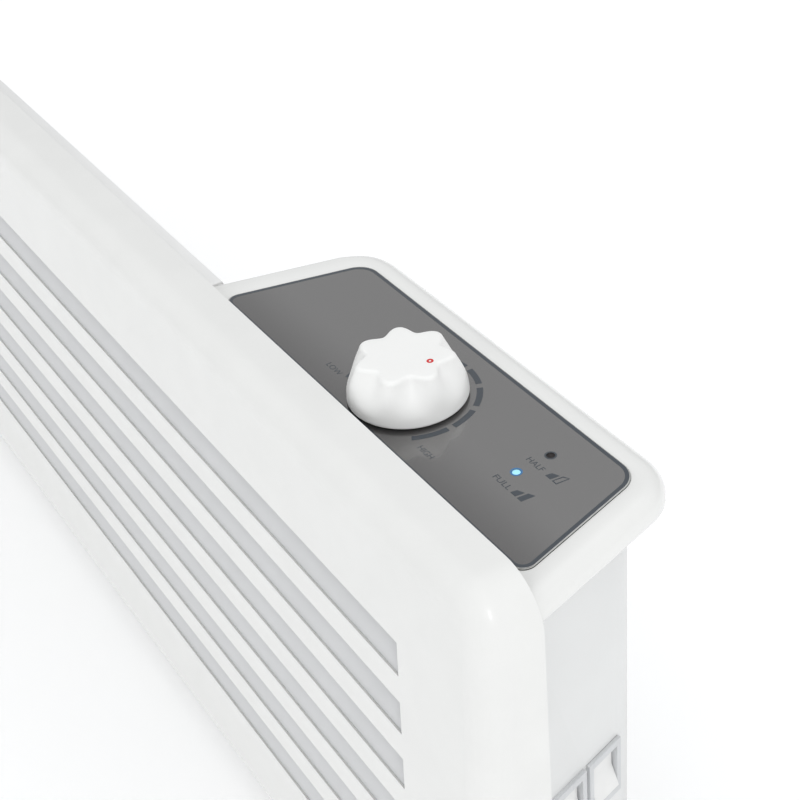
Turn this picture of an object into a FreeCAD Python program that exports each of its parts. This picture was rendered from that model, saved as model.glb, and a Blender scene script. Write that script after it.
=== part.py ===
"""Low electric convector heater (baseboard height), free standing or hung on wall brackets.

Frame: millimetres, +X to the right along the heater, -Y towards the room, +Z up.
The origin is on the floor, under the middle of the heater's box.
Every driving size is a cell of the sheet "dims"; the features read it by expression.
"""
import FreeCAD
import Part
import Sketcher
import os
from math import cos, sin, radians
from FreeCAD import Vector, Rotation, Placement

doc = FreeCAD.newDocument("baseboard_heater")

# ---------------------------------------------------------------- driving sizes
DIMS = {
    # front panel: a drawn steel tray, its face leaning back, open to the wall
    "heater_length": 780.0,
    "panel_top": 240.0,
    "panel_base": 18.0,
    "face_base_y": -50.55,
    "face_top_y": -38.95,
    "rim_y": -18.6,
    "panel_sheet": 1.0,
    "edge_roll": 10.0,
    "corner_round": 17.0,
    # louvre slots and the blades welded under them
    "slot_top": 197.7,
    "slot_high": 14.5,
    "slot_pitch": 25.1,
    "slot_half": 345.0,
    "slot_round": 2.0,
    "blade_sheet": 0.8,
    "blade_flange": 3.0,
    "blade_reach": 7.0,
    "blade_rise": 10.5,
    # rear casing, base and inner sheets
    "casing_sheet": 0.8,
    "casing_left": -378.0,
    "casing_right": 182.0,
    "casing_top": 233.0,
    "casing_front_y": -33.0,
    "ledge_y": -10.3,
    "shoulder_z": 184.0,
    "casing_back_y": 10.0,
    "base_z": 24.0,
    "base_right": 382.0,
    "base_front_y": -44.5,
    "intake_slot_x": 12.0,
    "intake_slot_y": 20.0,
    "intake_pitch": 20.0,
    "bay_right": 386.0,
    "shield_y": -30.0,
    # heating element
    "element_y": -10.0,
    "element_z": 66.0,
    "element_left": -350.0,
    "element_right": 150.0,
    "fin_high": 64.0,
    "fin_thick": 1.6,
    "fin_lean": 22.0,
    "rod_end": 26.0,
    "rod_radius": 4.0,
    "bush_radius": 7.0,
    "cutout_x": 40.0,
    "cutout_z": 133.0,
    "lead_y": -21.0,
    # feet and wall brackets
    "foot_x": 314.0,
    "foot_wide": 30.0,
    "foot_reach": 46.0,
    "pad_high": 3.0,
    "wall_y": 50.0,
    "bracket_base_z": 38.0,
    "bracket_high": 90.0,
    "bracket_sheet": 1.2,
    "wall_hole_radius": 2.75,
    # control box: splayed outline around the knob axis
    "knob_x": 285.0,
    "knob_y": 4.8,
    "label_z": 234.0,
    "label_half": 85.9,
    "side_splay": 0.27,
    "label_front": 20.8,
    "label_back": 31.7,
    "label_thick": 1.0,
    "label_round": 9.0,
    "label_front_round": 4.5,
    "bezel_rim": 10.5,
    "bezel_left": 103.0,
    "bezel_left_turn": 15.1,
    "bezel_left_splay": 0.324,
    "bezel_front": 22.9,
    "bezel_drop": 0.4,
    "bezel_high": 8.1,
    "bezel_round": 6.5,
    "housing_inset": 0.9,
    "housing_wall": 2.0,
    "housing_high": 140.0,
    # knob and thermostat
    "knob_base_radius": 20.0,
    "knob_high": 15.2,
    "knob_gap": 1.0,
    "shaft_radius": 3.0,
    "fit_gap": 0.05,
    "sensor_x": 196.0,
    "sensor_y": -29.0,
    "sensor_z": 29.8,
    # indicators
    "lamp_x": 53.6,
    "lamp_full_y": 4.4,
    "lamp_half_y": 17.2,
    "lamp_radius": 1.3,
    # side rocker switches
    "rocker_z": 116.0,
    "rocker_half_y": -4.0,
    "rocker_full_y": 14.0,
    "rocker_wide": 12.0,
    "rocker_tip": 10.0,
    "rocker_pin_radius": 1.0,
    # fasteners
    "screw_radius": 1.6,
    # cord inlet
    "gland_x": 36.0,
    "gland_z": 152.0,
    "gland_bore_radius": 3.75,
}

sheet = doc.addObject("Spreadsheet::Sheet", "dims")
for row, (alias, number) in enumerate(DIMS.items(), start=1):
    sheet.set("A%d" % row, alias)
    sheet.set("B%d" % row, str(number))
    sheet.setAlias("B%d" % row, alias)
doc.recompute()

PIECES = []          # every sub-part, in the order it is built


def size(alias):
    """The number in a cell of the sheet."""
    return DIMS[alias]


def bind(obj, prop, formula):
    """Tie a property to a formula in the sheet's aliases; @ stands for the sheet."""
    obj.setExpression(prop, formula.replace("@", "dims."))


def keep(obj, label, place=None):
    """Name a sub-part, place it and list it for export."""
    obj.Label = label
    if place is not None:
        obj.Placement = place
    PIECES.append(obj)
    return obj


# ---------------------------------------------------------------- modelling helpers
def new_body(label):
    return doc.addObject("PartDesign::Body", label + "_body")


def origin_plane(body, role):
    return [feature for feature in body.Origin.OriginFeatures if feature.Role == role][0]


def attach(sketch, body, role, height):
    """Lay a sketch on an origin plane of its own body, lifted along the plane's normal."""
    sketch.AttachmentSupport = (origin_plane(body, role), [""])
    sketch.MapMode = "FlatFace"
    if height is not None:
        bind(sketch, "AttachmentOffset.Base.z", height)


def polygon_sketch(body, name, role, corners, height=None):
    """A closed outline; each corner is a pair of formulas for its two coordinates."""
    sketch = body.newObject("Sketcher::SketchObject", name)
    attach(sketch, body, role, height)
    count = len(corners)
    ring = [Vector(50 * cos(6.2832 * k / count), 50 * sin(6.2832 * k / count), 0) for k in range(count)]
    for k in range(count):
        sketch.addGeometry(Part.LineSegment(ring[k], ring[(k + 1) % count]), False)
    for k in range(count):
        sketch.addConstraint(Sketcher.Constraint("Coincident", k, 2, (k + 1) % count, 1))
    for k, corner in enumerate(corners):
        for axis, formula in zip("XY", corner):
            start = ring[k].x if axis == "X" else ring[k].y
            index = sketch.addConstraint(Sketcher.Constraint("Distance" + axis, -1, 1, k, 1, start))
            sketch.renameConstraint(index, "corner%d%s" % (k, axis))
            bind(sketch, "Constraints.corner%d%s" % (k, axis), formula)
    return sketch


def circle_sketch(body, name, role, circles, height=None):
    """Circles, each given as formulas for its centre and its radius."""
    sketch = body.newObject("Sketcher::SketchObject", name)
    attach(sketch, body, role, height)
    for k, (across, along, radius) in enumerate(circles):
        sketch.addGeometry(Part.Circle(Vector(0, 0, 0), Vector(0, 0, 1), 1.0), False)
        for word, formula in (("X", across), ("Y", along)):
            index = sketch.addConstraint(Sketcher.Constraint("Distance" + word, -1, 1, k, 3, 1.0))
            sketch.renameConstraint(index, "centre%d%s" % (k, word))
            bind(sketch, "Constraints.centre%d%s" % (k, word), formula)
        index = sketch.addConstraint(Sketcher.Constraint("Radius", k, 1.0))
        sketch.renameConstraint(index, "radius%d" % k)
        bind(sketch, "Constraints.radius%d" % k, radius)
    return sketch


def box_corners(left, low, right, high):
    return [(left, low), (right, low), (right, high), (left, high)]


def pad(body, sketch, length, backward=False):
    feature = body.newObject("PartDesign::Pad", sketch.Name + "_pad")
    feature.Profile = sketch
    feature.Reversed = backward
    bind(feature, "Length", length)
    doc.recompute()
    return feature


def pocket(body, sketch, length, backward=False):
    """Cut a sketch into its body, and stop if nothing was removed."""
    before = body.Shape.Volume
    feature = body.newObject("PartDesign::Pocket", sketch.Name + "_pocket")
    feature.Profile = sketch
    feature.Reversed = backward
    bind(feature, "Length", length)
    doc.recompute()
    if not body.Shape.Volume < before - 0.01:
        raise RuntimeError("pocket %s cuts nothing" % sketch.Name)
    return feature


def edges_where(shape, test):
    return ["Edge%d" % (k + 1) for k, edge in enumerate(shape.Edges) if test(edge)]


def faces_where(shape, test):
    return ["Face%d" % (k + 1) for k, face in enumerate(shape.Faces) if test(face)]


def fillet(body, test, radius):
    """Round the edges of the body's tip that pass a test."""
    tip = body.Tip
    names = edges_where(tip.Shape, test)
    feature = body.newObject("PartDesign::Fillet", "round%d_" % len(body.Group) + body.Name)
    feature.Base = (tip, names)
    bind(feature, "Radius", radius)
    doc.recompute()
    return feature


def shell(body, test, wall):
    """Hollow the body to a wall thickness, open at the faces that pass a test."""
    tip = body.Tip
    names = faces_where(tip.Shape, test)
    feature = body.newObject("PartDesign::Thickness", "shell_" + body.Name)
    feature.Base = (tip, names)
    feature.Reversed = True
    feature.Join = "Intersection"
    bind(feature, "Value", wall)
    doc.recompute()
    return feature


def row_of(body, feature, axis_role, count, pitch):
    """Repeat a cut along an origin axis of the body."""
    axis = [item for item in body.Origin.OriginFeatures if item.Role == axis_role][0]
    pattern = body.newObject("PartDesign::LinearPattern", feature.Name + "_row")
    pattern.Originals = [feature]
    pattern.Direction = (axis, [""])
    pattern.Mode = "Spacing"
    pattern.Occurrences = count
    bind(pattern, "Offset", pitch)
    body.Tip = pattern
    doc.recompute()
    return pattern


def along(edge, axis):
    """True when a straight edge runs along an axis."""
    if not isinstance(edge.Curve, Part.Line):
        return False
    return abs(abs(edge.tangentAt(edge.FirstParameter).dot(axis)) - 1) < 1e-4


def faces_towards(face, direction):
    """True for a flat face whose outward normal is near a direction."""
    if not isinstance(face.Surface, Part.Plane):
        return False
    return face.normalAt(0, 0).dot(direction) > 0.99


def block(label, corner, extent):
    """A Part::Box whose low corner and extents are formulas."""
    box = doc.addObject("Part::Box", label + "_block")
    for axis, formula in zip("xyz", corner):
        bind(box, "Placement.Base." + axis, formula)
    for prop, formula in zip(("Length", "Width", "Height"), extent):
        bind(box, prop, formula)
    return box


def rod(label, radius, length, foot, direction=Vector(0, 0, 1)):
    """A Part::Cylinder from a foot point given as formulas, along a direction."""
    cylinder = doc.addObject("Part::Cylinder", label + "_rod")
    cylinder.Placement = Placement(Vector(), Rotation(Vector(0, 0, 1), direction))
    for axis, formula in zip("xyz", foot):
        bind(cylinder, "Placement.Base." + axis, formula)
    bind(cylinder, "Radius", radius)
    bind(cylinder, "Height", length)
    return cylinder


def joined(label, parts):
    union = doc.addObject("Part::MultiFuse", label + "_union")
    union.Shapes = parts
    return union


def minus(label, base, tool):
    cut = doc.addObject("Part::Cut", label + "_cut")
    cut.Base = base
    cut.Tool = tool
    return cut


def group(label, parts):
    """Separate identical solids that share one node."""
    compound = doc.addObject("Part::Compound", label + "_group")
    compound.Links = parts
    return keep(compound, label)


X_AXIS, Y_AXIS, Z_AXIS = Vector(1, 0, 0), Vector(0, 1, 0), Vector(0, 0, 1)
LEAN = "(@face_top_y - @face_base_y) / (@panel_top - @panel_base)"


# ---------------------------------------------------------------- front panel
def front_panel():
    """Side outline drawn along the heater, corners and front edge rolled, then hollowed."""
    body = new_body("front_panel")
    outline = polygon_sketch(body, "panel_outline", "YZ_Plane", [
        ("@rim_y", "@panel_base"), ("@face_base_y", "@panel_base"),
        ("@face_top_y", "@panel_top"), ("@rim_y", "@panel_top")],
        height="-@heater_length / 2")
    pad(body, outline, "@heater_length")
    fillet(body, lambda edge: along(edge, Y_AXIS), "@corner_round")
    front = size("rim_y") - 5
    fillet(body, lambda edge: edge.BoundBox.YMax < front, "@edge_roll")
    shell(body, lambda face: faces_towards(face, Y_AXIS), "@panel_sheet")
    slot = polygon_sketch(body, "louvre_slot", "XZ_Plane", box_corners(
        "-@slot_half", "@slot_top - 5 * @slot_pitch - @slot_high",
        "@slot_half", "@slot_top - 5 * @slot_pitch"))
    cut = pocket(body, slot, "-@face_base_y + @panel_sheet", backward=True)
    row_of(body, cut, "Z_Axis", 6, "@slot_pitch")
    return keep(body, "front_panel")


def face_line(height):
    """Formula for the depth of the panel's inner skin at a height."""
    return "(@face_base_y + (%s - @panel_base) * %s + @panel_sheet + 0.1)" % (height, LEAN)


def louvre_blade(number):
    """Strip with a short welded flange and a blade that rises inwards behind its slot."""
    body = new_body("louvre_blade_%d" % number)
    profile = polygon_sketch(body, "blade_profile_%d" % number, "YZ_Plane", [
        ("0", "-@blade_flange"), ("@blade_sheet", "-@blade_flange"),
        ("@blade_sheet", "-@blade_sheet / 2"),
        ("@blade_reach", "@blade_rise - @blade_sheet"), ("@blade_reach", "@blade_rise"),
        ("0", "0")], height="-@slot_half - 4")
    pad(body, profile, "2 * @slot_half + 8")
    low = "(@slot_top - @slot_high - %d * @slot_pitch)" % (number - 1)
    bind(body, "Placement.Base.z", low)
    bind(body, "Placement.Base.y", face_line(low))
    return keep(body, "louvre_blade_%d" % number)


def louvre_stay(label, left):
    """Leaning strip across the blades' ends that ties them into one grille."""
    body = new_body(label)
    low, high = "(@slot_top - 5 * @slot_pitch - @slot_high)", "(@slot_top + 4)"
    profile = polygon_sketch(body, label + "_profile", "YZ_Plane", [
        (face_line(low), low), (face_line(low) + " + @blade_reach", low),
        (face_line(high) + " + @blade_reach", high), (face_line(high), high)], height=left)
    pad(body, profile, "1.5")
    return keep(body, label)


front_panel()
for blade_number in range(1, 7):
    louvre_blade(blade_number)


# ---------------------------------------------------------------- casing and inner sheets
HOUSING_SCREW_SPOTS = [(across, drop) for across in (-60, 60) for drop in (30, 130)]


def rear_casing():
    """Bent sheet: narrow top ledge, sloping shoulder and flat back, open below and in front."""
    body = new_body("rear_casing")
    outline = polygon_sketch(body, "casing_outline", "YZ_Plane", [
        ("@casing_front_y", "@base_z + @casing_sheet"), ("@casing_front_y", "@casing_top"),
        ("@ledge_y", "@casing_top"), ("@casing_back_y", "@shoulder_z"),
        ("@casing_back_y", "@base_z + @casing_sheet")],
        height="@casing_left + @casing_sheet")
    pad(body, outline, "@casing_right - @casing_left - 2 * @casing_sheet")
    opened = (-Y_AXIS, -Z_AXIS, X_AXIS, -X_AXIS)
    shell(body, lambda face: any(faces_towards(face, way) for way in opened), "@casing_sheet")
    return keep(body, "rear_casing")


def casing_cheek(label, left, front_high, front_low):
    """End sheet of the hot chamber; it follows the casing behind and faces the panel in front."""
    body = new_body(label)
    outline = polygon_sketch(body, label + "_outline", "YZ_Plane", [
        ("@casing_back_y", "@base_z + @casing_sheet"), ("@casing_back_y", "@shoulder_z"),
        ("@ledge_y", "@casing_top"), ("@casing_front_y", "@casing_top"),
        (front_high, "@panel_top - 18"), (front_low, "@panel_base + 16"),
        (front_low + " + 3", "@base_z + @casing_sheet")], height=left)
    pad(body, outline, "@casing_sheet")
    return keep(body, label)


def partition_plate():
    """Sheet between the hot chamber and the electrical bay, holed for the leads."""
    left = "@casing_right - @casing_sheet"
    body = casing_cheek("partition_plate", left, "@rim_y - 9", "@rim_y - 9")
    hole = circle_sketch(body, "lead_hole", "YZ_Plane", [("@lead_y", "@element_z", "6")], height=left)
    pocket(body, hole, "@casing_sheet", backward=True)


def base_plate():
    """Floor sheet of the heater with the row of cold-air slots behind the panel."""
    body = new_body("base_plate")
    outline = polygon_sketch(body, "base_outline", "XY_Plane", box_corners(
        "@casing_left", "@base_front_y", "@base_right", "@casing_back_y"), height="@base_z")
    pad(body, outline, "@casing_sheet")
    slot = polygon_sketch(body, "intake_slot", "XY_Plane", box_corners(
        "@casing_left + 18", "@rim_y + 3", "@casing_left + 18 + @intake_slot_x",
        "@rim_y + 3 + @intake_slot_y"), height="@base_z + @casing_sheet")
    cut = pocket(body, slot, "2 * @casing_sheet")
    row_of(body, cut, "X_Axis", 27, "@intake_pitch")
    return keep(body, "base_plate")


def bay_plate():
    """Rear cover of the electrical bay at the right end; the control box screws onto it."""
    body = new_body("bay_plate")
    outline = polygon_sketch(body, "bay_outline", "XZ_Plane", box_corners(
        "@casing_right", "@base_z + @casing_sheet", "@bay_right", "@casing_top"),
        height="-@rim_y")
    pad(body, outline, "@casing_sheet")
    right = size("bay_right") - 1
    fillet(body, lambda edge: along(edge, Y_AXIS) and edge.BoundBox.XMin > right,
           "@corner_round - 3")
    opening = polygon_sketch(body, "lead_opening", "XZ_Plane", box_corners(
        "@knob_x - 25", "@label_z - 120", "@knob_x + 25", "@label_z - 90"), height="-@rim_y")
    pocket(body, opening, "@casing_sheet", backward=True)
    holes = circle_sketch(body, "bay_screw_holes", "XZ_Plane", [
        ("@knob_x + %d" % across, "@label_z - %d" % drop, "@screw_radius + 0.2")
        for across, drop in HOUSING_SCREW_SPOTS], height="-@rim_y")
    pocket(body, holes, "@casing_sheet", backward=True)
    return keep(body, "bay_plate")


rear_casing()
casing_cheek("casing_end_left", "@casing_left", "@face_top_y + 1.2", "@face_base_y + 2.6")
partition_plate()
base_plate()
bay_plate()
louvre_stay("louvre_stay_left", "-@slot_half - 5.5")
louvre_stay("louvre_stay_right", "@slot_half + 4")
keep(block("heat_shield", ("@element_left - 8", "@shield_y", "@base_z + @casing_sheet"),
           ("@element_right - @element_left + 16", "0.6", "87")), "heat_shield")


# ---------------------------------------------------------------- heating element
def element_body():
    """Extruded aluminium radiator: two crossed fins on a round boss bored for the rod."""
    length = "@element_right - @element_left"
    fins = []
    for name, way in (("fin_a", 1), ("fin_b", -1)):
        fin = doc.addObject("Part::Box", name)
        bind(fin, "Length", length)
        bind(fin, "Width", "@fin_thick")
        bind(fin, "Height", "@fin_high")
        turn = Rotation(X_AXIS, way * size("fin_lean"))
        centre = turn.multVec(Vector(0, -size("fin_thick") / 2, -size("fin_high") / 2))
        corner = Vector(size("element_left"), size("element_y"), size("element_z")) + centre
        fin.Placement = Placement(corner, turn)
        fins.append(fin)
    boss = rod("element_boss", "@rod_radius + 3", length,
               ("@element_left", "@element_y", "@element_z"), X_AXIS)
    bore = rod("element_bore", "@rod_radius", length,
               ("@element_left", "@element_y", "@element_z"), X_AXIS)
    return keep(minus("element", joined("element", fins + [boss]), bore), "element_body")


def element_bracket(label, left):
    """Upright steel tab with a hole for the insulating bush, folded onto the base."""
    body = new_body(label)
    tab = polygon_sketch(body, label + "_tab", "YZ_Plane", box_corners(
        "@element_y - 16", "@base_z + @casing_sheet", "@element_y + 16", "@element_z + 16"),
        height=left)
    pad(body, tab, "1")
    toe = polygon_sketch(body, label + "_toe", "XY_Plane", box_corners(
        left, "@element_y - 16", left + " + 12", "@element_y + 16"),
        height="@base_z + @casing_sheet")
    pad(body, toe, "1")
    hole = circle_sketch(body, label + "_hole", "YZ_Plane",
                         [("@element_y", "@element_z", "@bush_radius")], height=left)
    pocket(body, hole, "1", backward=True)
    return keep(body, label)


def element_bush(label, left):
    """Ceramic bush that carries the rod in its bracket and insulates it."""
    foot = (left, "@element_y", "@element_z")
    barrel = rod(label + "_barrel", "@bush_radius", "5", foot, X_AXIS)
    collar = rod(label + "_collar", "@bush_radius + 2", "2",
                 (left + " + 3", "@element_y", "@element_z"), X_AXIS)
    bore = rod(label + "_bore", "@rod_radius", "5", foot, X_AXIS)
    return keep(minus(label, joined(label, [barrel, collar]), bore), label)


element_body()
keep(rod("element_rod", "@rod_radius", "@element_right - @element_left + 20 + @rod_end",
         ("@element_left - 20", "@element_y", "@element_z"), X_AXIS), "element_rod")
element_bracket("element_bracket_left", "@element_left - 14")
element_bracket("element_bracket_right", "@element_right + 8")
element_bush("element_bush_left", "@element_left - 16")
element_bush("element_bush_right", "@element_right + 6")


def cutout_bracket():
    """Z-shaped steel clip that holds the overheat cut-out above the element."""
    body = new_body("cutout_bracket")
    wall = "@casing_back_y - @casing_sheet"
    profile = polygon_sketch(body, "clip_profile", "YZ_Plane", [
        (wall, "@cutout_z + 7"), (wall, "@cutout_z + 27"),
        (wall + " - 1", "@cutout_z + 27"), (wall + " - 1", "@cutout_z + 8"),
        ("@element_y - 10", "@cutout_z + 8"), ("@element_y - 10", "@cutout_z + 7")],
        height="@cutout_x - 9")
    pad(body, profile, "18")
    return keep(body, "cutout_bracket")


def overheat_cutout():
    """Bimetal disc thermostat: flat can with two blades on top."""
    can = rod("cutout_can", "8", "7", ("@cutout_x", "@element_y", "@cutout_z"))
    tabs = [block("cutout_tab_%d" % side,
                  ("@cutout_x + %d" % (4 * side - 1), "@element_y - 12", "@cutout_z + 1"),
                  ("2", "5", "1")) for side in (-1, 1)]
    return keep(joined("overheat_cutout", [can] + tabs), "overheat_cutout")


cutout_bracket()
overheat_cutout()


# ---------------------------------------------------------------- feet and wall brackets
FOOT_SCREW_STEPS = (-10, 10)
WEB_SCREW_SPOTS = [(across, rise) for across in (-10, 10) for rise in (20, 70)]


def foot(label, centre):
    """Moulded cross foot: low beam under the heater with a block up to the base plate."""
    body = new_body(label)
    profile = polygon_sketch(body, label + "_profile", "YZ_Plane", [
        ("-@foot_reach", "@pad_high"), ("@foot_reach", "@pad_high"),
        ("@foot_reach", "@pad_high + 5"), ("@casing_back_y + 2", "@panel_base - 2"),
        ("@casing_back_y - 1", "@base_z"), ("@rim_y + 2", "@base_z"),
        ("@rim_y + 1", "@panel_base - 2"), ("-@foot_reach", "@pad_high + 5")],
        height=centre + " - @foot_wide / 2")
    pad(body, profile, "@foot_wide")
    fillet(body, lambda edge: along(edge, Z_AXIS) and edge.BoundBox.ZMin < 4, "4")
    spots = [(centre + " + %d" % step, "@rim_y + 14", "1.7") for step in FOOT_SCREW_STEPS]
    holes = circle_sketch(body, label + "_holes", "XY_Plane", spots, height="@base_z")
    pocket(body, holes, "@base_z")
    return keep(body, label)


def wall_bracket(label, centre):
    """Hat-section bracket: its web carries the casing, its two flanges screw to the wall."""
    body = new_body(label)
    web, ear = 18, 34
    front = "@casing_back_y"
    inner = "@wall_y - @bracket_sheet"
    corners = [("%s - %g" % (centre, web + 1.2), front), ("%s + %g" % (centre, web + 1.2), front),
               ("%s + %g" % (centre, web + 1.2), inner), ("%s + %g" % (centre, ear), inner),
               ("%s + %g" % (centre, ear), "@wall_y"), ("%s + %g" % (centre, web), "@wall_y"),
               ("%s + %g" % (centre, web), front + " + @bracket_sheet"),
               ("%s - %g" % (centre, web), front + " + @bracket_sheet"),
               ("%s - %g" % (centre, web), "@wall_y"), ("%s - %g" % (centre, ear), "@wall_y"),
               ("%s - %g" % (centre, ear), inner), ("%s - %g" % (centre, web + 1.2), inner)]
    profile = polygon_sketch(body, label + "_profile", "XY_Plane", corners, height="@bracket_base_z")
    pad(body, profile, "@bracket_high")
    holes = [("%s + %d" % (centre, side * 27), "@bracket_base_z + %d" % rise, "@wall_hole_radius")
             for side in (-1, 1) for rise in (10, 80)]
    sketch = circle_sketch(body, label + "_holes", "XZ_Plane", holes, height="-@wall_y")
    pocket(body, sketch, "@bracket_sheet", backward=True)
    web_holes = [("%s + %d" % (centre, across), "@bracket_base_z + %d" % rise, "@screw_radius + 0.2")
                 for across, rise in WEB_SCREW_SPOTS]
    sketch = circle_sketch(body, label + "_web_holes", "XZ_Plane", web_holes,
                           height="-@casing_back_y - @bracket_sheet")
    pocket(body, sketch, "@bracket_sheet", backward=True)
    return keep(body, label)


foot("foot_left", "-@foot_x")
foot("foot_right", "@foot_x")
group("foot_pads", [rod("foot_pad_%d" % (2 * i + j), "6", "@pad_high",
                        ("%d * @foot_x" % sx, "%d * (@foot_reach - 9)" % sy, "0"))
                    for i, sx in enumerate((-1, 1)) for j, sy in enumerate((-1, 1))])
wall_bracket("wall_bracket_left", "-240")
wall_bracket("wall_bracket_right", "100")


# ---------------------------------------------------------------- control box shells
def splayed(inset, front, back, wide_left=False):
    """Corners of the box outline: symmetric about the knob axis, wider towards the room.

    The side line is label_half - side_splay * y away from the axis; an inset moves it square
    to itself, hence the factor sqrt(1 + splay * splay). A wide left side has its own line,
    which turns straight where it meets the casing's ledge.
    """
    side = "(@label_half - (%s) * sqrt(1 + @side_splay * @side_splay))" % inset
    corners = []
    for way, line in ((-1, front), (1, front), (1, back), (-1, back)):
        across = "@knob_x + %d * (%s - @side_splay * (%s))" % (way, side, line)
        corners.append((across, "@knob_y + " + line))
    if wide_left:
        far = "@knob_x - @bezel_left + @bezel_left_splay * (@bezel_left_turn + %s)" % back
        corners[3] = (far, corners[3][1])
        corners[0] = ("@knob_x - @bezel_left", corners[0][1])
        corners.append((corners[0][0], "@knob_y - @bezel_left_turn"))
    return corners


def upright(edge):
    return along(edge, Z_AXIS)


def is_rear(edge):
    return edge.BoundBox.YMin > size("knob_y") + 10


def is_front(edge):
    return edge.BoundBox.YMax < size("knob_y") - 10


def control_housing():
    """Moulded box under the bezel, open at the top, screwed against the bay cover."""
    body = new_body("control_housing")
    outline = polygon_sketch(body, "housing_outline", "XY_Plane", splayed(
        "@housing_inset", "(@rim_y - @knob_y)", "(@label_back - @housing_inset)"),
        height="@label_z - @bezel_drop - @bezel_high - @housing_high")
    pad(body, outline, "@housing_high")
    fillet(body, lambda edge: upright(edge) and is_rear(edge), "@label_round - @housing_inset")
    shell(body, lambda face: faces_towards(face, Z_AXIS), "@housing_wall")
    opening = polygon_sketch(body, "housing_leads", "XZ_Plane", box_corners(
        "@knob_x - 22", "@label_z - 118", "@knob_x + 22", "@label_z - 92"), height="-@rim_y")
    pocket(body, opening, "@housing_wall")
    hole = circle_sketch(body, "gland_hole", "XZ_Plane",
                         [("@knob_x + @gland_x", "@gland_z", "6.0")],
                         height="-@knob_y - @label_back")
    pocket(body, hole, "@housing_wall + 3", backward=True)
    for word in ("half", "full"):
        cut_switch_window(body, word)
    return keep(body, "control_housing")


def switch_frame_axes():
    """Turn that takes a switch's own axes onto the right-hand wall of the control box."""
    splay = size("side_splay")
    return Rotation(Vector(1, splay, 0), Vector(-splay, 1, 0), Z_AXIS, "XZY")


def switch_seat(word):
    """Point on the outside of the right-hand wall at the middle of a switch."""
    line = size("rocker_%s_y" % word)
    splay = size("side_splay")
    inset = size("housing_inset") * (1 + splay * splay) ** 0.5
    return Vector(size("knob_x") + size("label_half") - inset - splay * line,
                  size("knob_y") + line, size("rocker_z"))


def cut_switch_window(body, word):
    """Rectangular window for a rocker switch, cut square to the splayed wall."""
    sketch = polygon_sketch(body, "window_" + word, "YZ_Plane", box_corners(
        "-@rocker_wide / 2 - 1.6", "-11", "@rocker_wide / 2 + 1.6", "11"))
    seat = switch_seat(word)
    turn = switch_frame_axes().multiply(Rotation(Vector(1, 1, 1), 120))
    sketch.MapMode = "Deactivated"
    sketch.AttachmentSupport = None
    sketch.Placement = Placement(seat, turn)
    pocket(body, sketch, "@housing_wall + 2")


def control_bezel():
    """Glossy lid frame around the label: rolled rim, recess for the label, holed deck."""
    body = new_body("control_bezel")
    base = "@label_z - @bezel_drop - @bezel_high"
    outline = polygon_sketch(body, "bezel_outline", "XY_Plane", splayed(
        "-@bezel_rim", "-@bezel_front", "(@label_back + @bezel_rim)", wide_left=True), height=base)
    pad(body, outline, "@bezel_high")
    fillet(body, lambda edge: upright(edge) and is_rear(edge), "@label_round + @bezel_rim")
    top = size("label_z") - size("bezel_drop") - 0.1
    front = size("knob_y") - size("bezel_front") + 0.1
    fillet(body, lambda edge: edge.BoundBox.ZMin > top and edge.BoundBox.YMax > front, "@bezel_round")
    recess = polygon_sketch(body, "label_recess", "XY_Plane", splayed(
        "-0.2", "-@label_front - 0.2", "(@label_back + 0.2)"), height="@label_z - @bezel_drop")
    pocket(body, recess, "@label_thick - @bezel_drop")
    floor = size("label_z") - size("label_thick")
    corner = lambda edge: upright(edge) and abs(edge.BoundBox.ZMin - floor) < 0.01
    fillet(body, lambda edge: corner(edge) and is_rear(edge), "@label_round")
    fillet(body, lambda edge: corner(edge) and is_front(edge), "@label_front_round")
    under = polygon_sketch(body, "under_pocket", "XY_Plane", splayed(
        "4.4", "-@label_front + 4", "(@label_back - 4.4)"), height=base)
    pocket(body, under, "@bezel_high + @bezel_drop - @label_thick - 2", backward=True)
    holes = circle_sketch(body, "deck_holes", "XY_Plane", [
        ("@knob_x", "@knob_y", "@shaft_radius + 1.5"),
        ("@knob_x + @lamp_x", "@knob_y + @lamp_full_y", "@lamp_radius + 0.4"),
        ("@knob_x + @lamp_x", "@knob_y + @lamp_half_y", "@lamp_radius + 0.4")],
        height="@label_z")
    pocket(body, holes, "4")
    return keep(body, "control_bezel")


def label_plate():
    """Clear-topped printed plate in the bezel's recess, holed for the shaft and the lamps."""
    body = new_body("label_plate")
    outline = polygon_sketch(body, "label_outline", "XY_Plane", splayed(
        "0", "-@label_front", "@label_back"), height="@label_z - @label_thick")
    pad(body, outline, "@label_thick")
    fillet(body, lambda edge: upright(edge) and is_rear(edge), "@label_round - 0.2")
    fillet(body, lambda edge: upright(edge) and is_front(edge), "@label_front_round - 0.2")
    holes = circle_sketch(body, "label_holes", "XY_Plane", [
        ("@knob_x", "@knob_y", "@shaft_radius + 1.5"),
        ("@knob_x + @lamp_x", "@knob_y + @lamp_full_y", "@lamp_radius + 0.1"),
        ("@knob_x + @lamp_x", "@knob_y + @lamp_half_y", "@lamp_radius + 0.1")],
        height="@label_z")
    pocket(body, holes, "@label_thick")
    return keep(body, "label_plate")


control_housing()
control_bezel()
label_plate()


# ---------------------------------------------------------------- knob and thermostat
LOBES = 7
THERMOSTAT_SCREW_STEPS = (-20.5, 20.5)
POINTER_ANGLE = 26.5      # the pointer at rest, counter-clockwise from +X, between two lobes
DOT_REACH = 9.5


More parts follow.
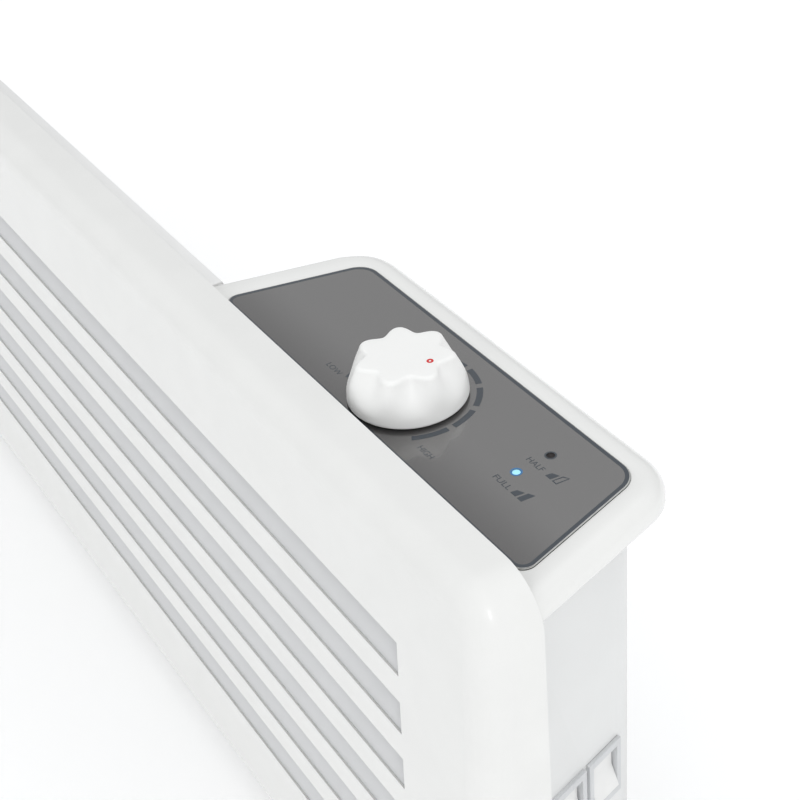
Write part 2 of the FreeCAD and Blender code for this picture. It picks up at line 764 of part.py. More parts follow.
def control_knob():
    """Hollow turned knob; seven slanting flutes make its crown wavy and fade at the skirt."""
    body = new_body("control_knob")
    rim, high = "@knob_base_radius", "@knob_high"
    profile = polygon_sketch(body, "knob_profile", "XZ_Plane", [
        ("@shaft_radius", "0.8"), ("@shaft_radius + 3", "0.8"), ("@shaft_radius + 3", "11.4"),
        ("13", "11.4"), ("17.6", "0"), (rim, "0"), (rim + " - 0.3", "3.2"),
        (rim + " - 0.9", "7"), (rim + " - 2.2", "11.6"), (rim + " - 3.8", "14.4"),
        (rim + " - 4.8", high), ("0", high), ("0", "11.4"), ("@shaft_radius", "11.4")])
    turned = body.newObject("PartDesign::Revolution", "knob_turned")
    turned.Profile = profile
    turned.ReferenceAxis = (profile, ["V_Axis"])
    turned.Angle = 360
    doc.recompute()
    flutes = []
    for lobe in range(LOBES):
        angle = radians(POINTER_ANGLE + 360 / LOBES * lobe)
        outward = Vector(cos(angle), sin(angle), 0)
        start = outward * 21.9 + Vector(0, 0, 15.2)
        slant = (outward * -0.58 + Z_AXIS).normalize()
        flute = doc.addObject("Part::Cylinder", "flute_%d" % lobe)
        flute.Radius = 9
        flute.Height = 40
        flute.Placement = Placement(start - slant * 20, Rotation(Z_AXIS, slant))
        flutes.append(flute)
    knob = minus("control_knob", body, joined("flutes", flutes))
    dot = doc.addObject("Part::Cylinder", "dot_seat")
    dot.Radius = 1.15
    dot.Height = 1
    aim = radians(POINTER_ANGLE)
    dot.Placement.Base = Vector(DOT_REACH * cos(aim), DOT_REACH * sin(aim), size("knob_high") - 0.6)
    knob = minus("knob_dot_seat", knob, dot)
    return keep(knob, "control_knob", on_knob_axis("label_z + @knob_gap"))


def on_knob_axis(height):
    """Placement on the knob's axis at a height that is one or two cells added together."""
    total = sum(size(word.strip().lstrip("@")) for word in height.split("+"))
    return Placement(Vector(size("knob_x"), size("knob_y"), total), Rotation())


def knob_pointer():
    """Red plug pressed into the crown of the knob."""
    aim = radians(POINTER_ANGLE)
    plug = doc.addObject("Part::Cylinder", "pointer_plug")
    plug.Radius = 1.15
    bind(plug, "Height", "0.6")
    bind(plug, "Placement.Base.x", "@knob_x + %.4f" % (DOT_REACH * cos(aim)))
    bind(plug, "Placement.Base.y", "@knob_y + %.4f" % (DOT_REACH * sin(aim)))
    bind(plug, "Placement.Base.z", "@label_z + @knob_gap + @knob_high - 0.6")
    return keep(plug, "knob_pointer")


def thermostat_body():
    """Capillary thermostat: boxed switch on a flange under the deck, neck bored for the shaft."""
    case = block("thermostat_case", ("@knob_x - 17", "@knob_y - 15", "@label_z - 28.2"),
                 ("34", "30", "24"))
    plate = block("thermostat_flange", ("@knob_x - 24", "@knob_y - 10", "@label_z - 4.2"),
                  ("48", "20", "1.2"))
    neck = rod("thermostat_neck", "@shaft_radius + 1.4", "3.2",
               ("@knob_x", "@knob_y", "@label_z - 4.2"))
    bore = rod("thermostat_bore", "@shaft_radius + @fit_gap", "24",
               ("@knob_x", "@knob_y", "@label_z - 24"))
    holes = [rod("flange_hole_%d" % (across > 0), "@screw_radius + 0.2", "1.2",
                 ("@knob_x + %g" % across, "@knob_y", "@label_z - 4.2"))
             for across in THERMOSTAT_SCREW_STEPS]
    return keep(minus("thermostat", joined("thermostat", [case, neck, plate]),
                      joined("thermostat_holes", [bore] + holes)), "thermostat_body")


def sensor_clip():
    """Bored block on the base plate that holds the thermostat's sensing bulb."""
    clip = block("sensor_clip", ("@sensor_x + 29", "@sensor_y - 5", "@base_z + @casing_sheet"),
                 ("12", "10", "10"))
    bore = rod("sensor_clip_bore", "3", "12", ("@sensor_x + 29", "@sensor_y", "@sensor_z"), X_AXIS)
    return keep(minus("sensor_clip", clip, bore), "sensor_clip")


control_knob()
knob_pointer()
keep(rod("thermostat_shaft", "@shaft_radius", "34.4", ("@knob_x", "@knob_y", "@label_z - 23")),
     "thermostat_shaft")
thermostat_body()
keep(rod("thermostat_sensor", "3", "70", ("@sensor_x", "@sensor_y", "@sensor_z"), X_AXIS),
     "thermostat_sensor")
sensor_clip()


# ---------------------------------------------------------------- indicators
def light_guide(label, line):
    """Clear pin that brings a lamp's light up to the label; its collar sits under the deck."""
    pin = rod(label + "_pin", "@lamp_radius", "11.8",
              ("@knob_x + @lamp_x", "@knob_y + " + line, "@label_z - 12"))
    collar = rod(label + "_collar", "@lamp_radius + 1", "1.5",
                 ("@knob_x + @lamp_x", "@knob_y + " + line, "@label_z - 4.5"))
    return keep(joined(label, [pin, collar]), label)


def indicator_board():
    """Small printed board that carries the two lamps."""
    return keep(block("indicator_board", ("@knob_x + @lamp_x - 12", "@knob_y - 6", "@label_z - 18"),
                      ("20", "34", "1.6")), "indicator_board")


def indicator_holder():
    """Moulded block between the deck and the lamp board, bored around both light guides."""
    solid = block("indicator_holder", ("@knob_x + @lamp_x - 6", "@knob_y", "@label_z - 16.4"),
                  ("12", "21.6", "13.4"))
    bores = [rod("holder_bore_" + word, "@lamp_radius + 1.1", "13.4",
                 ("@knob_x + @lamp_x", "@knob_y + @lamp_%s_y" % word, "@label_z - 16.4"))
             for word in ("full", "half")]
    return keep(minus("indicator_holder", solid, joined("holder_bores", bores)), "indicator_holder")


light_guide("full_light_guide", "@lamp_full_y")
light_guide("half_light_guide", "@lamp_half_y")
indicator_board()
indicator_holder()
group("indicator_lamps", [rod("lamp_" + word, "1.5", "4.2",
                              ("@knob_x + @lamp_x", "@knob_y + @lamp_%s_y" % word, "@label_z - 16.4"))
                          for word in ("full", "half")])


# ---------------------------------------------------------------- side rocker switches
def rocker_frame(word):
    """Snap-in switch body with a flange outside the wall and a well for the rocker."""
    label = "rocker_frame_" + word
    wide = size("rocker_wide")
    flange = Part.makeBox(1.5, wide + 5, 26, Vector(0, -wide / 2 - 2.5, -13))
    case = Part.makeBox(16, wide + 3, 21.6, Vector(-16, -wide / 2 - 1.5, -10.8))
    well = Part.makeBox(13, wide + 0.7, 19.9, Vector(-11.3, -wide / 2 - 0.35, -9.95))
    pivots = Part.makeCylinder(size("rocker_pin_radius") + size("fit_gap"), wide + 2.2,
                               Vector(-2.5, -wide / 2 - 1.1, 0), Y_AXIS)
    frame = doc.addObject("Part::Feature", label + "_shape")
    frame.Shape = flange.fuse(case).cut(well).cut(pivots)
    return keep(frame, label, Placement(switch_seat(word), switch_frame_axes()))


def rocker(word):
    """Rocker on its two pivot pins, shown tipped with its upper half pressed in."""
    label = "rocker_" + word
    wide = size("rocker_wide")
    side = [Vector(2.0, 0, 0), Vector(3.4, 0, 8.9), Vector(0, 0, 9.3), Vector(-5.5, 0, 4),
            Vector(-5.5, 0, -4), Vector(0, 0, -9.3), Vector(3.4, 0, -8.9)]
    face = Part.Face(Part.makePolygon(side + side[:1]))
    face.translate(Vector(0, -wide / 2, 0))
    pins = Part.makeCylinder(size("rocker_pin_radius"), wide + 2, Vector(0, -wide / 2 - 1, 0), Y_AXIS)
    piece = doc.addObject("Part::Feature", label + "_shape")
    piece.Shape = face.extrude(Vector(0, wide, 0)).fuse(pins)
    seat = Placement(switch_seat(word), switch_frame_axes())
    tip = Placement(Vector(-2.5, 0, 0), Rotation(Y_AXIS, -size("rocker_tip")))
    return keep(piece, label, seat.multiply(tip))


for switch_word in ("half", "full"):
    rocker_frame(switch_word)
    rocker(switch_word)


# ---------------------------------------------------------------- wiring and cord inlet
def cord_gland():
    """Moulded inlet ring in the back wall, bored for the mains cord."""
    back = "@knob_y + @label_back - @housing_inset"
    spot = ("@knob_x + @gland_x", back, "@gland_z")
    ring = rod("gland_ring", "8", "6", spot, Y_AXIS)
    neck = rod("gland_neck", "5.9", "5", ("@knob_x + @gland_x", back + " - 5", "@gland_z"), Y_AXIS)
    bore = rod("gland_bore", "@gland_bore_radius", "11",
               ("@knob_x + @gland_x", back + " - 5", "@gland_z"), Y_AXIS)
    return keep(minus("cord_gland", joined("cord_gland", [ring, neck]), bore), "cord_gland")


def terminal_block():
    """Three-pole screw terminal on the housing floor."""
    base = block("terminal_base", ("@knob_x - 50", "@knob_y - 6", "@label_z - 146.5"), ("34", "16", "12"))
    ridges = [block("terminal_ridge_%d" % k, ("@knob_x - 50 + %d" % (11 * k), "@knob_y - 2",
                                              "@label_z - 134.5"), ("1.5", "8", "5")) for k in range(4)]
    return keep(joined("terminal_block", [base] + ridges), "terminal_block")


def lead(label, points, radius, bend):
    """Insulated wire: straight runs joined by tangent arcs."""
    edges = []
    start = points[0]
    for before, corner, after in zip(points, points[1:], points[2:]):
        back = (before - corner).normalize()
        ahead = (after - corner).normalize()
        half = back.getAngle(ahead) / 2
        reach = bend * cos(half) / sin(half)
        middle = corner + (back + ahead).normalize() * (bend / sin(half) - bend)
        enter, leave = corner + back * reach, corner + ahead * reach
        edges.append(Part.LineSegment(start, enter).toShape())
        edges.append(Part.Arc(enter, middle, leave).toShape())
        start = leave
    edges.append(Part.LineSegment(start, points[-1]).toShape())
    path = Part.Wire(edges)
    ring = Part.Wire([Part.Circle(points[0], points[1] - points[0], radius).toShape()])
    wire = doc.addObject("Part::Feature", label + "_shape")
    wire.Shape = path.makePipeShell([ring], True, False, 2)
    return keep(wire, label)


def element_leads():
    """Leads from the rod's end and from the earthed partition into the control box."""
    y_door = size("rim_y")
    for label, step in (("element_lead", 0), ("earth_lead", 1)):
        start = Vector(size("element_right") + size("rod_end") - 2 + 8 * step,
                       size("lead_y") - 3.9 + 3.6 * step, size("element_z") + 11 * step)
        riser_x = size("casing_right") + 24 + 10 * step
        door = Vector(size("knob_x") - 12 + 12 * step, start.y - 3, size("label_z") - 102 - 8 * step)
        lead(label, [start, Vector(riser_x, start.y, start.z),
                     Vector(riser_x + 6, door.y, door.z), door,
                     Vector(door.x, y_door + 12, door.z)], 1.5, 6.0)


cord_gland()
terminal_block()
element_leads()


# ---------------------------------------------------------------- fasteners
def screws(label, heads, direction, shank):
    """Pan-head screws as separate solids: heads are points of formulas under each head."""
    parts = []
    for k, spot in enumerate(heads):
        head = rod("%s_head_%d" % (label, k), "2 * @screw_radius", "1.8", spot, direction)
        back = ["%s - (%g)" % (formula, step * shank) for formula, step
                in zip(spot, (direction.x, direction.y, direction.z))]
        stem = rod("%s_stem_%d" % (label, k), "@screw_radius", "%g" % shank, back, direction)
        parts.append(joined("%s_%d" % (label, k), [head, stem]))
    return group(label, parts)


screws("bracket_screws", [("%d + %d" % (centre, across), "@casing_back_y + @bracket_sheet",
                           "@bracket_base_z + %d" % rise)
                          for centre in (-240, 100) for across, rise in WEB_SCREW_SPOTS], Y_AXIS, 6)
screws("foot_screws", [("%d * @foot_x + %d" % (side, step), "@rim_y + 14", "@pad_high")
                       for side in (-1, 1) for step in FOOT_SCREW_STEPS], -Z_AXIS, 23)
screws("housing_screws", [("@knob_x + %d" % across, "@rim_y - @casing_sheet", "@label_z - %d" % drop)
                          for across, drop in HOUSING_SCREW_SPOTS], -Y_AXIS, 2.5)
screws("thermostat_screws", [("@knob_x + %g" % across, "@knob_y", "@label_z - 4.2")
                             for across in THERMOSTAT_SCREW_STEPS], -Z_AXIS, 2.8)


# ---------------------------------------------------------------- check and export
def check_document():
    """Stop before writing anything if an object failed or a sub-part has no sound shape."""
    doc.recompute()
    for obj in doc.Objects:
        if "Invalid" in obj.State or "Error" in obj.State:
            raise RuntimeError("%s failed: %s" % (obj.Name, obj.State))
    labels = [piece.Label for piece in PIECES]
    if len(set(labels)) != len(labels):
        raise RuntimeError("two sub-parts share a label")
    for piece in PIECES:
        if piece.Shape.isNull() or not piece.Shape.isValid():
            raise RuntimeError("%s has no sound shape" % piece.Label)


def export_parts():
    os.makedirs("parts", exist_ok=True)
    for piece in PIECES:
        piece.Shape.exportStep("parts/%s.step" % piece.Label)


check_document()
export_parts()
print("%d sub-parts written" % len(PIECES))
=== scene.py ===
"""Low electric convector heater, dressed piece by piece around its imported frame.

Metres. +X runs right along the heater, -Y faces the room, +Z is up from the floor.
"""
import bpy
import bmesh
import numpy as np
from mathutils import Matrix, Vector


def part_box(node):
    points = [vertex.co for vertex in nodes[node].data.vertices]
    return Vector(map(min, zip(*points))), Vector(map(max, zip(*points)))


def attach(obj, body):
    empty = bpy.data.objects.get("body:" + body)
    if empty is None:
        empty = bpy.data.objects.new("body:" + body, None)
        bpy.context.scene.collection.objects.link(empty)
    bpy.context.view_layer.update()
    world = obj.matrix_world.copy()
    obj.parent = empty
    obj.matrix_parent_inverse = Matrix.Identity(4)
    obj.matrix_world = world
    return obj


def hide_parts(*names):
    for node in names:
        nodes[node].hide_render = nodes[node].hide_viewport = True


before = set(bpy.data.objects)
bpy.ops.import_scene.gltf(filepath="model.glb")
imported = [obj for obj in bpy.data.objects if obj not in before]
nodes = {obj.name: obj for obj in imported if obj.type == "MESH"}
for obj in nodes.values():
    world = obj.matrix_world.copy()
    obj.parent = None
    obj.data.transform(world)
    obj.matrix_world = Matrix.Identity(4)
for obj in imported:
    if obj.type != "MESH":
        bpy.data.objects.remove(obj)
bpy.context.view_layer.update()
MM = 0.001

# ------------------------------------------------------------------ base plate, end sheets, shield
# Thin zinc-coated steel sheets, blanked and folded. The base plate closes the heater below and
# carries the row of cold-air slots; an end sheet closes the hot chamber at the left.
# Behind the louvres a bright aluminium sheet keeps the element's heat off the painted front.


class Finish:
    """A material with one Principled shader; patterns read Object coordinates in metres."""

    def __init__(self, name, colour, roughness, metallic=0.0, coat=0.0, specular=0.5):
        self.material = bpy.data.materials.new(name)
        self.material.use_nodes = True
        self.tree = self.material.node_tree
        self.shader = self.tree.nodes["Principled BSDF"]
        for socket, number in (("Base Color", (*colour, 1.0)), ("Roughness", roughness),
                               ("Metallic", metallic), ("Coat Weight", coat),
                               ("Coat Roughness", 0.05), ("Specular IOR Level", specular)):
            self.shader.inputs[socket].default_value = number
        self.place = self.node("ShaderNodeTexCoord").outputs["Object"]
        self.bump_before = None

    def node(self, kind, **settings):
        """Add a node; a keyword that starts with in_ sets an input socket, any other a property."""
        made = self.tree.nodes.new(kind)
        for word, value in settings.items():
            if word.startswith("in_"):
                made.inputs[word[3:].replace("_", " ")].default_value = value
            else:
                setattr(made, word, value)
        return made

    def join(self, output, target):
        """Link an output to a socket; calls can follow one another."""
        self.tree.links.new(output, target)
        return self

    def stretched(self, scale):
        """Object coordinates multiplied by a scale per axis, for marks that run one way."""
        mapping = self.node("ShaderNodeMapping")
        mapping.inputs["Scale"].default_value = scale
        self.join(self.place, mapping.inputs["Vector"])
        self.place = mapping.outputs["Vector"]
        return self

    def noise(self, scale, detail=2.0):
        """Soft random grey that wanders with place; a larger scale is finer."""
        texture = self.node("ShaderNodeTexNoise", in_Scale=scale, in_Detail=detail)
        self.join(self.place, texture.inputs["Vector"])
        return texture.outputs["Fac"]

    def cells(self, scale):
        """Voronoi cells; the output is one random grey per cell."""
        texture = self.node("ShaderNodeTexVoronoi", in_Scale=scale)
        self.join(self.place, texture.inputs["Vector"])
        return texture.outputs["Color"]

    def tint(self, pattern, dark, light, low=0.3, high=0.7):
        """Base colour that goes from dark to light as the pattern goes from low to high."""
        ramp = self.node("ShaderNodeValToRGB")
        for stop, place, colour in zip(ramp.color_ramp.elements, (low, high), (dark, light)):
            stop.position = place
            stop.color = (*colour, 1.0)
        self.join(pattern, ramp.inputs["Fac"])
        return self.join(ramp.outputs["Color"], self.shader.inputs["Base Color"])

    def polish(self, pattern, low, high):
        """Roughness that wanders between two values with the pattern."""
        spread = self.node("ShaderNodeMapRange", in_To_Min=low, in_To_Max=high)
        self.join(pattern, spread.inputs["Value"])
        return self.join(spread.outputs["Result"], self.shader.inputs["Roughness"])

    def relief(self, pattern, depth, strength=1.0):
        """Fine unevenness of the surface, in metres; several reliefs add up."""
        bump = self.node("ShaderNodeBump", in_Distance=depth, in_Strength=strength)
        self.join(pattern, bump.inputs["Height"])
        if self.bump_before is not None:
            self.join(self.bump_before, bump.inputs["Normal"])
        self.bump_before = bump.outputs["Normal"]
        return self.join(bump.outputs["Normal"], self.shader.inputs["Normal"])


def dress(finish, *names):
    """Give CAD nodes a finish."""
    for name in names:
        for part_slot in nodes[name].material_slots:
            part_slot.material = finish.material


zinc_sheet = Finish("zinc_sheet", (0.55, 0.57, 0.59), 0.38, metallic=1.0)
zinc_sheet.tint(zinc_sheet.cells(130.0), (0.42, 0.44, 0.46), (0.66, 0.68, 0.70), 0.1, 0.9)
zinc_sheet.polish(zinc_sheet.cells(130.0), 0.28, 0.46)
zinc_sheet.relief(zinc_sheet.noise(900.0), 0.00002)
dress(zinc_sheet, "base_plate", "casing_end_left", "element_bracket_left", "element_bracket_right",
      "cutout_bracket")

shield_sheet = Finish("shield_sheet", (0.82, 0.82, 0.82), 0.22, metallic=1.0)
shield_sheet.stretched((4.0, 900.0, 900.0))
shield_sheet.polish(shield_sheet.noise(1.0, 4.0), 0.16, 0.34)
shield_sheet.relief(shield_sheet.noise(1.0, 4.0), 0.00001)
dress(shield_sheet, "heat_shield")

# ------------------------------------------------------------------ heating element
# A steel-sheathed rod inside an extruded aluminium body with crossed fins. It floats in two
# ceramic bushes held by folded tabs, so that it can grow when hot; die lines run along the fins.
die_drawn = Finish("die_drawn_aluminium", (0.70, 0.71, 0.72), 0.36, metallic=1.0)
die_drawn.stretched((3.0, 700.0, 700.0))
die_drawn.tint(die_drawn.noise(1.0, 5.0), (0.58, 0.59, 0.60), (0.78, 0.79, 0.80))
die_drawn.relief(die_drawn.noise(1.0, 5.0), 0.00003)
dress(die_drawn, "element_body")

heat_tinted = Finish("heat_tinted_steel", (0.36, 0.31, 0.27), 0.42, metallic=1.0)
heat_tinted.tint(heat_tinted.noise(28.0, 3.0), (0.27, 0.22, 0.20), (0.46, 0.40, 0.33))
heat_tinted.relief(heat_tinted.noise(1500.0), 0.00002)
dress(heat_tinted, "element_rod")

bush_ceramic = Finish("bush_ceramic", (0.80, 0.77, 0.70), 0.62)
bush_ceramic.tint(bush_ceramic.noise(700.0, 4.0), (0.74, 0.70, 0.62), (0.84, 0.81, 0.75))
bush_ceramic.relief(bush_ceramic.noise(1800.0), 0.00005)
dress(bush_ceramic, "element_bush_left", "element_bush_right")

dark_moulding = Finish("dark_phenolic", (0.03, 0.03, 0.032), 0.48)
dark_moulding.tint(dark_moulding.noise(300.0, 4.0), (0.022, 0.022, 0.024), (0.05, 0.05, 0.052))
dark_moulding.relief(dark_moulding.noise(2200.0), 0.00004)
dress(dark_moulding, "overheat_cutout", "thermostat_body", "indicator_holder")

# ------------------------------------------------------------------ painted sheet
# The back casing, the bay's rear cover and the partition are steel sheet under a white powder coat:
# satin, with the fine orange peel of baked powder, and a little whiter than the front's as painted
# light. The six blades behind the slots, and the stays across their ends, are a light grey that is
# painted shade.
coat = Finish("white_powder_coat", (0.78, 0.78, 0.765), 0.34, coat=0.25)
coat.tint(coat.noise(60.0, 3.0), (0.77, 0.77, 0.755), (0.79, 0.79, 0.775))
coat.relief(coat.noise(620.0, 1.0), 0.00004, 0.5)
coat.relief(coat.noise(2600.0, 2.0), 0.00001, 0.6)


def add_piece(name, mesh, finish, body="root"):
    """Put a mesh into the scene as a smooth piece that rides on a body."""
    piece = bpy.data.objects.new(name, mesh)
    bpy.context.scene.collection.objects.link(piece)
    mesh.materials.append(finish.material)
    mesh.shade_smooth()
    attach(piece, body)
    return piece


def rounded_copy(node, name, finish, edge, body="root"):
    """Copy of a CAD node with its corners merged and its sharp edges softened by a small round."""
    mesh = nodes[node].data.copy()
    mesh.name = name
    mesh.materials.clear()
    work = bmesh.new()
    work.from_mesh(mesh)
    bmesh.ops.remove_doubles(work, verts=work.verts, dist=0.005 * MM)
    bmesh.ops.dissolve_limit(work, angle_limit=0.002, verts=work.verts, edges=work.edges)
    work.to_mesh(mesh)
    work.free()
    piece = add_piece(name, mesh, finish, body)
    bevel = piece.modifiers.new("edge_round", "BEVEL")
    bevel.width = edge
    bevel.segments = 2
    bevel.limit_method = "ANGLE"
    bevel.angle_limit = np.radians(35)
    bevel.harden_normals = True
    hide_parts(node)
    return piece


# Painted light: this coat is whiter than the front's, standing in for brighter light on the casing's
# ledge.
rear_coat_painted_light = Finish("rear_powder_coat_painted_light", (0.86, 0.86, 0.85), 0.34, coat=0.25)
rear_coat_painted_light.tint(rear_coat_painted_light.noise(60.0, 3.0), (0.85, 0.85, 0.842), (0.87, 0.87, 0.862))
rear_coat_painted_light.relief(rear_coat_painted_light.noise(620.0, 1.0), 0.00004, 0.5)
for sheet_node in ("rear_casing", "bay_plate"):
    rounded_copy(sheet_node, sheet_node + "_painted", rear_coat_painted_light, 0.15 * MM)
dress(rear_coat_painted_light, "partition_plate")

# Painted shade: the blades' light grey stands for the shade inside the slots, under the strip above
# each.
blade_painted_shade = Finish("blade_grey_painted_shade", (0.68, 0.685, 0.69), 0.4, coat=0.1)
blade_painted_shade.tint(blade_painted_shade.noise(60.0, 3.0), (0.67, 0.675, 0.68), (0.69, 0.695, 0.70))
blade_painted_shade.relief(blade_painted_shade.noise(620.0, 1.0), 0.00004, 0.5)
dress(blade_painted_shade, *["louvre_blade_%d" % number for number in range(1, 7)],
      "louvre_stay_left", "louvre_stay_right")

# ------------------------------------------------------------------ front panel
# One deep-drawn steel tray. Its face leans back 3 degrees and rolls over a 10 mm radius into the
# edges; six slots are lanced in it, and each slot's lower lip is rolled inwards over its blade.
panel_low, panel_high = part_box("front_panel")
RIM_Y, PANEL_BASE, PANEL_TOP = panel_high.y, panel_low.z, panel_high.z
PANEL_HALF = panel_high.x
EDGE_ROLL, CORNER = 10 * MM, 17 * MM
FACE_BASE_Y, FACE_TOP_Y = -50.5 * MM, -38.95 * MM
SLOT_TOP, SLOT_HIGH, SLOT_PITCH, SLOT_HALF = 197.7 * MM, 14.5 * MM, 25.1 * MM, 345 * MM
SLOT_EDGES = np.array([(SLOT_TOP - k * SLOT_PITCH, SLOT_TOP - k * SLOT_PITCH - SLOT_HIGH)
                       for k in range(6)])


def face_y(z):
    """Depth of the leaning face at a height: a straight line from its base to its top."""
    return FACE_BASE_Y + (FACE_TOP_Y - FACE_BASE_Y) * (z - PANEL_BASE) / (PANEL_TOP - PANEL_BASE)


def tray_outline(inset):
    """Rounded rectangle in X and Z, inset square to its edges, walked from the lower right corner
    anticlockwise as seen from the room; the upright sides also stop at each slot's edges."""
    turn = np.linspace(0, np.pi / 2, 13)
    levels = np.sort(SLOT_EDGES.ravel())
    across, up = PANEL_HALF - CORNER, np.array([PANEL_BASE + CORNER, PANEL_TOP - CORNER])
    reach = CORNER - inset
    parts = []
    for k, (x, z) in enumerate(((across, up[0]), (across, up[1]), (-across, up[1]), (-across, up[0]))):
        angle = turn - np.pi / 2 + k * np.pi / 2
        parts.append(np.stack([x + reach * np.cos(angle), z + reach * np.sin(angle)], axis=1))
        if k in (0, 2):
            side = levels if k == 0 else levels[::-1]
            edge = (PANEL_HALF - inset) * (1 if k == 0 else -1)
            parts.append(np.stack([np.full(len(side), edge), side], axis=1))
        else:
            top = PANEL_TOP - inset if k == 1 else PANEL_BASE + inset
            spots = np.array([SLOT_HALF, -SLOT_HALF]) * (1 if k == 1 else -1)
            parts.append(np.stack([spots, np.full(2, top)], axis=1))
    return np.concatenate(parts)


def grid_faces(rows, columns, first=0, around=False):
    """Quads of a grid of points counted row by row; around also joins the last column to the first."""
    index = first + np.arange(rows * columns).reshape(rows, columns)
    if around:
        index = np.hstack([index, index[:, :1]])
    return np.stack([index[:-1, :-1], index[:-1, 1:], index[1:, 1:], index[1:, :-1]], -1).reshape(-1, 4)


def mesh_of(name, grids, around=False):
    """One mesh of several grids of points (rows x columns x 3), welded where they meet.
    A face turns right-handed from a row to the next column to the next row."""
    points, faces, count = [], [], 0
    for grid in grids:
        rows, columns = grid.shape[:2]
        points.append(grid.reshape(-1, 3))
        faces.append(grid_faces(rows, columns, count, around))
        count += rows * columns
    mesh = bpy.data.meshes.new(name)
    mesh.from_pydata(np.concatenate(points).tolist(), [], np.concatenate(faces).tolist())
    work = bmesh.new()
    work.from_mesh(mesh)
    bmesh.ops.remove_doubles(work, verts=work.verts, dist=0.002 * MM)
    work.to_mesh(mesh)
    work.free()
    mesh.validate()
    return mesh


def tray_grid():
    """Rim, wall, roll and flat border of the tray. The wall runs straight forward; then at roll
    angle t the skin lies r(1 - cos t) inside the outline and r(1 - sin t) behind the face."""
    rows = []
    flat = tray_outline(0.0)
    roll_start = face_y(flat[:, 1]) + EDGE_ROLL
    for share in (0.0, 0.5, 1.0):
        rows.append(np.stack([flat[:, 0], RIM_Y + (roll_start - RIM_Y) * share, flat[:, 1]], 1))
    for angle in np.linspace(0, np.pi / 2, 13)[1:]:
        ring = tray_outline(EDGE_ROLL * (1 - np.cos(angle)))
        depth = face_y(ring[:, 1]) + EDGE_ROLL * (1 - np.sin(angle))
        rows.append(np.stack([ring[:, 0], depth, ring[:, 1]], 1))
    border = rows[-1].copy()
    border[:, 0] = np.clip(border[:, 0], -SLOT_HALF, SLOT_HALF)
    border[:, 2] = np.clip(border[:, 2], SLOT_EDGES.min(), SLOT_EDGES.max())
    border[:, 1] = face_y(border[:, 2])
    return np.array(rows + [border])


def across_slots(heights, depths):
    """Two-column grid between the slots' ends from a list of heights and depths, lowest first."""
    ends = np.array([-SLOT_HALF, SLOT_HALF])
    x, z = np.meshgrid(ends, heights)
    y = np.repeat(np.array(depths)[:, None], 2, axis=1)
    return np.stack([x, y, z], -1)


LIP = 0.7 * MM                      # radius of each slot's rolled lower lip
BLADE_SLOPE = np.arctan2(10.5, 7.0)
panel_grids = [tray_grid()]
for number, lower in enumerate(SLOT_EDGES[:, 1]):
    bend = np.linspace(0, np.pi / 2 - BLADE_SLOPE, 7)
    lip_z = lower + LIP * np.sin(bend)
    lip_y = face_y(lower) + LIP * (1 - np.cos(bend))
    panel_grids.append(across_slots(lip_z, lip_y))
    if number < 5:
        strip = np.array([SLOT_EDGES[number + 1, 0], lower])
        panel_grids.append(across_slots(strip, face_y(strip)))
panel_mesh = mesh_of("front_panel_tray", panel_grids[:1], around=True)
strips_mesh = mesh_of("strips", panel_grids[1:])
work = bmesh.new()
work.from_mesh(panel_mesh)
work.from_mesh(strips_mesh)
bmesh.ops.remove_doubles(work, verts=work.verts, dist=0.002 * MM)
bmesh.ops.dissolve_degenerate(work, dist=0.001 * MM, edges=work.edges)
work.to_mesh(panel_mesh)
work.free()
front_panel = add_piece("front_panel_tray", panel_mesh, coat)
wall = front_panel.modifiers.new("sheet_thickness", "SOLIDIFY")
wall.thickness = 1.0 * MM
wall.offset = -1.0
edge_round = front_panel.modifiers.new("edge_round", "BEVEL")
edge_round.width = 0.25 * MM
edge_round.segments = 2
edge_round.limit_method = "ANGLE"
edge_round.angle_limit = np.radians(40)
edge_round.harden_normals = True
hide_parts("front_panel")

# ------------------------------------------------------------------ feet and wall brackets
# Two moulded cross feet with rubber pads screw up into the base plate. Two hat-section steel
# brackets are screwed to the back casing so that the heater can also hang on a wall.
foot_moulding = Finish("foot_moulding", (0.74, 0.74, 0.73), 0.5)
foot_moulding.tint(foot_moulding.noise(90.0), (0.72, 0.72, 0.71), (0.76, 0.76, 0.75))
foot_moulding.relief(foot_moulding.noise(1600.0, 3.0), 0.00008)
for side in ("left", "right"):
    rounded_copy("foot_" + side, "cross_foot_" + side, foot_moulding, 0.8 * MM)
dress(foot_moulding, "sensor_clip")

pad_rubber = Finish("pad_rubber", (0.035, 0.035, 0.036), 0.8)
pad_rubber.tint(pad_rubber.noise(200.0, 4.0), (0.026, 0.026, 0.027), (0.05, 0.05, 0.05))
pad_rubber.relief(pad_rubber.noise(1400.0), 0.0001)
dress(pad_rubber, "foot_pads")

bracket_paint = Finish("bracket_paint", (0.74, 0.74, 0.73), 0.42, coat=0.1)
bracket_paint.tint(bracket_paint.noise(50.0, 3.0), (0.72, 0.72, 0.71), (0.76, 0.76, 0.75))
bracket_paint.relief(bracket_paint.noise(700.0), 0.00005)
for side in ("left", "right"):
    rounded_copy("wall_bracket_" + side, "hat_bracket_" + side, bracket_paint,
                 0.25 * MM)

# ------------------------------------------------------------------ control box shell
# A moulded box hangs behind the panel at the right end. Its lid frame is a separate glossy
# moulding: a flat deck, a recess for the label and a broad rolled edge that overhangs the box.
box_moulding = Finish("box_moulding", (0.74, 0.745, 0.74), 0.42)
box_moulding.tint(box_moulding.noise(40.0), (0.73, 0.735, 0.73), (0.75, 0.755, 0.75))
box_moulding.relief(box_moulding.noise(1500.0, 3.0), 0.00002)
rounded_copy("control_housing", "control_box_shell", box_moulding, 0.4 * MM)

